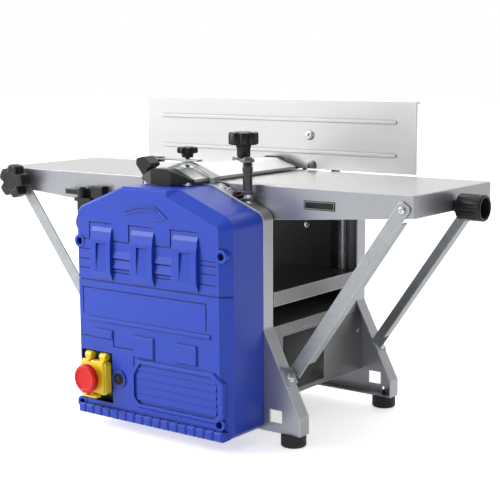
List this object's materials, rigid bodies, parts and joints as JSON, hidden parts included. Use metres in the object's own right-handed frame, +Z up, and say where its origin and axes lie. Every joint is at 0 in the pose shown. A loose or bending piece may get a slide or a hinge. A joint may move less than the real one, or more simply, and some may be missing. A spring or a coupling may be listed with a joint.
{
  "type": "thickness planer",
  "caption": "Bench planer-thicknesser with long surfacing tables on struts, tilting fence, rising table below and a moulded drive cover with a stop switch.",
  "frame": {"origin": "on the floor plane, at the middle of the four feet", "axes": "+X along the tables towards the infeed end, -Y towards the drive cover and the operator, +Z up"},
  "size_m": [0.78, 0.4025, 0.4535],
  "materials": {
    "silver_paint": "satin",
    "dark_paint": "matt",
    "bright_steel": "ground",
    "dark_steel": "oiled",
    "belt_rubber": "matt",
    "foot_rubber": "matt",
    "cover_blue": "satin moulded",
    "black_plastic": "satin moulded",
    "galvanised_steel": "zinc plated",
    "cast_aluminium": "machined",
    "brass": "turned",
    "fence_aluminium": "anodised",
    "switch_yellow": "gloss",
    "stop_red": "gloss",
    "start_green": "gloss"
  },
  "bodies": {
    "frame": {"front_side_plate": "silver_paint", "rear_side_plate": "silver_paint", "base_shell": "silver_paint", "chamber_liners": "dark_paint", "motor_housing": "dark_paint", "bearing_housings": "dark_paint", "cutter_bearings": "bright_steel", "roller_bushes": "dark_steel", "kickback_shaft": "bright_steel", "drive_belts": "belt_rubber", "feed_chain": "dark_steel", "lift_chain": "dark_steel", "drive_cover": "cover_blue", "case_screws": "black_plastic", "switch_body": "switch_yellow", "outfeed_table": "silver_paint", "outfeed_latch_block": "black_plastic", "infeed_braces": "galvanised_steel", "outfeed_braces": "galvanised_steel", "brace_bolts": "galvanised_steel", "rubber_feet": "foot_rubber", "fence_bracket": "dark_steel", "cable_gland": "black_plastic"},
    "cutterhead": {"cutterblock": "bright_steel", "planer_knives": "bright_steel", "knife_gibs": "dark_steel", "cutter_pulley": "cast_aluminium"},
    "motor_rotor": {"motor_shaft": "bright_steel", "motor_pulley": "cast_aluminium"},
    "infeed_feed_roller": {"infeed_roller": "bright_steel"},
    "outfeed_feed_roller": {"outfeed_roller": "bright_steel"},
    "countershaft": {"countershaft_pulley": "cast_aluminium"},
    "kickback_pawls": {"kickback_fingers": "dark_steel"},
    "rising_table": {"thicknessing_table": "cast_aluminium", "lift_nuts": "brass"},
    "crank_post": {"spindle_front_right": "bright_steel", "crank_shaft": "black_plastic", "crank_arm": "galvanised_steel"},
    "crank_handle": {"crank_grip": "black_plastic"},
    "rear_right_post": {"spindle_rear_right": "bright_steel"},
    "front_left_post": {"spindle_front_left": "bright_steel"},
    "rear_left_post": {"spindle_rear_left": "bright_steel"},
    "infeed_table_body": {"infeed_table": "silver_paint"},
    "depth_knob_body": {"depth_knob": "black_plastic"},
    "brace_clamp": {"brace_clamp_knob": "black_plastic"},
    "outfeed_latch": {"outfeed_latch_lever": "black_plastic"},
    "feed_selector": {"feed_knob": "black_plastic"},
    "switch_lid": {"switch_flap": "switch_yellow"},
    "stop_button": {"stop_mushroom": "stop_red"},
    "start_button": {"start_key": "start_green"},
    "overload_reset": {"overload_button": "black_plastic"},
    "fence": {"fence_panel": "fence_aluminium", "fence_bolts": "galvanised_steel", "fence_tilt_arms": "dark_steel"},
    "fence_lock": {"fence_lock_knob": "black_plastic"},
    "guard_arm": {"guard_bracket": "galvanised_steel"},
    "guard": {"guard_blade": "fence_aluminium", "guard_end_caps": "black_plastic"},
    "guard_clamp": {"guard_knob": "black_plastic"},
    "guard_thumb_lever": {"guard_latch": "black_plastic"}
  },
  "joints": [
    {"name": "cutterblock_spin", "type": "hinge", "parent": "frame", "child": "cutterhead", "pos_m": [-0.0195, 0, 0.3235], "axis": [0, 1, 0], "continuous": true},
    {"name": "motor_spin", "type": "hinge", "parent": "frame", "child": "motor_rotor", "pos_m": [-0.0195, 0, 0.098], "axis": [0, 1, 0], "continuous": true},
    {"name": "infeed_roller_spin", "type": "hinge", "parent": "frame", "child": "infeed_feed_roller", "pos_m": [0.0205, 0, 0.3105], "axis": [0, 1, 0], "continuous": true},
    {"name": "outfeed_roller_spin", "type": "hinge", "parent": "frame", "child": "outfeed_feed_roller", "pos_m": [-0.0595, 0, 0.3105], "axis": [0, 1, 0], "continuous": true},
    {"name": "countershaft_spin", "type": "hinge", "parent": "frame", "child": "countershaft", "pos_m": [-0.0195, -0.17, 0.2735], "axis": [0, 1, 0], "continuous": true},
    {"name": "kickback_pawl_swing", "type": "hinge", "parent": "frame", "child": "kickback_pawls", "pos_m": [0.0525, 0, 0.322], "axis": [0, 1, 0], "range_deg": [0, 38]},
    {"name": "table_lift", "type": "slide", "parent": "frame", "child": "rising_table", "axis": [0, 0, 1], "range_m": [-0.024, 0.09]},
    {"name": "crank_turn", "type": "hinge", "parent": "frame", "child": "crank_post", "pos_m": [0.1, -0.118, 0.2], "axis": [0, 0, 1], "range_deg": [-2882, 10802]},
    {"name": "rear_right_post_turn", "type": "hinge", "parent": "frame", "child": "rear_right_post", "pos_m": [0.1, 0.118, 0.2], "axis": [0, 0, 1], "range_deg": [-2882, 10802]},
    {"name": "front_left_post_turn", "type": "hinge", "parent": "frame", "child": "front_left_post", "pos_m": [-0.1, -0.118, 0.2], "axis": [0, 0, 1], "range_deg": [-2882, 10802]},
    {"name": "rear_left_post_turn", "type": "hinge", "parent": "frame", "child": "rear_left_post", "pos_m": [-0.1, 0.118, 0.2], "axis": [0, 0, 1], "range_deg": [-2882, 10802]},
    {"name": "crank_handle_spin", "type": "hinge", "parent": "crank_post", "child": "crank_handle", "pos_m": [0.0776, -0.0972, 0.395], "axis": [0, 0, 1], "continuous": true},
    {"name": "cutting_depth", "type": "slide", "parent": "frame", "child": "infeed_table_body", "axis": [0, 0, 1], "range_m": [-0.003, 0]},
    {"name": "depth_knob_turn", "type": "hinge", "parent": "infeed_table_body", "child": "depth_knob_body", "pos_m": [0.349, 0, 0.325], "axis": [1, 0, 0], "range_deg": [-361, 1]},
    {"name": "brace_clamp_turn", "type": "hinge", "parent": "frame", "child": "brace_clamp", "pos_m": [-0.349, -0.12, 0.329], "axis": [0, 1, 0], "range_deg": [-720, 0]},
    {"name": "outfeed_latch_swing", "type": "hinge", "parent": "frame", "child": "outfeed_latch", "pos_m": [-0.211, -0.114, 0.318], "axis": [0, 0, 1], "range_deg": [0, 90]},
    {"name": "feed_selector_turn", "type": "hinge", "parent": "frame", "child": "feed_selector", "pos_m": [-0.15, -0.163, 0.285], "axis": [1, 0, 0], "range_deg": [0, 90]},
    {"name": "switch_lid_hinge", "type": "hinge", "parent": "frame", "child": "switch_lid", "pos_m": [-0.0995, -0.207, 0.103], "axis": [-1, 0, 0], "range_deg": [0, 100]},
    {"name": "stop_button_press", "type": "slide", "parent": "switch_lid", "child": "stop_button", "axis": [0, 1, 0], "range_m": [0, 0.004], "stiffness_N_per_m": 400, "springref_m": -0.001},
    {"name": "start_button_press", "type": "slide", "parent": "frame", "child": "start_button", "axis": [0, 1, 0], "range_m": [0, 0.003], "stiffness_N_per_m": 300, "springref_m": -0.001},
    {"name": "overload_reset_press", "type": "slide", "parent": "frame", "child": "overload_reset", "axis": [0, 1, 0], "range_m": [0, 0.002], "stiffness_N_per_m": 300, "springref_m": -0.001},
    {"name": "fence_tilt", "type": "hinge", "parent": "frame", "child": "fence", "pos_m": [0.05, 0.116, 0.355], "axis": [-1, 0, 0], "range_deg": [0, 45]},
    {"name": "fence_lock_turn", "type": "hinge", "parent": "frame", "child": "fence_lock", "pos_m": [0.08, 0.15, 0.367], "axis": [1, 0, 0], "range_deg": [-360, 0]},
    {"name": "guard_height", "type": "slide", "parent": "frame", "child": "guard_arm", "axis": [0, 0, 1], "range_m": [0, 0.05]},
    {"name": "guard_reach", "type": "slide", "parent": "guard_arm", "child": "guard", "axis": [0, -1, 0], "range_m": [-0.004, 0.1]},
    {"name": "guard_clamp_turn", "type": "hinge", "parent": "guard_arm", "child": "guard_clamp", "pos_m": [-0.009, -0.112, 0.38], "axis": [0, 0, 1], "range_deg": [0, 720]},
    {"name": "guard_thumb_lever_tip", "type": "hinge", "parent": "guard", "child": "guard_thumb_lever", "pos_m": [-0.0545, -0.136, 0.353], "axis": [0, -1, 0], "range_deg": [0, 40]}
  ],
  "couplings": [
    {"joint": "motor_spin", "follows": "cutterblock_spin", "ratio": 0.72727},
    {"joint": "countershaft_spin", "follows": "cutterblock_spin", "ratio": 0.1581},
    {"joint": "infeed_roller_spin", "follows": "cutterblock_spin", "ratio": -0.080391},
    {"joint": "outfeed_roller_spin", "follows": "cutterblock_spin", "ratio": -0.080391},
    {"joint": "crank_turn", "follows": "table_lift", "rad_per_m": 2094.4},
    {"joint": "rear_right_post_turn", "follows": "table_lift", "rad_per_m": 2094.4},
    {"joint": "front_left_post_turn", "follows": "table_lift", "rad_per_m": 2094.4},
    {"joint": "rear_left_post_turn", "follows": "table_lift", "rad_per_m": 2094.4},
    {"joint": "depth_knob_turn", "follows": "cutting_depth", "rad_per_m": 2094.4}
  ]
}
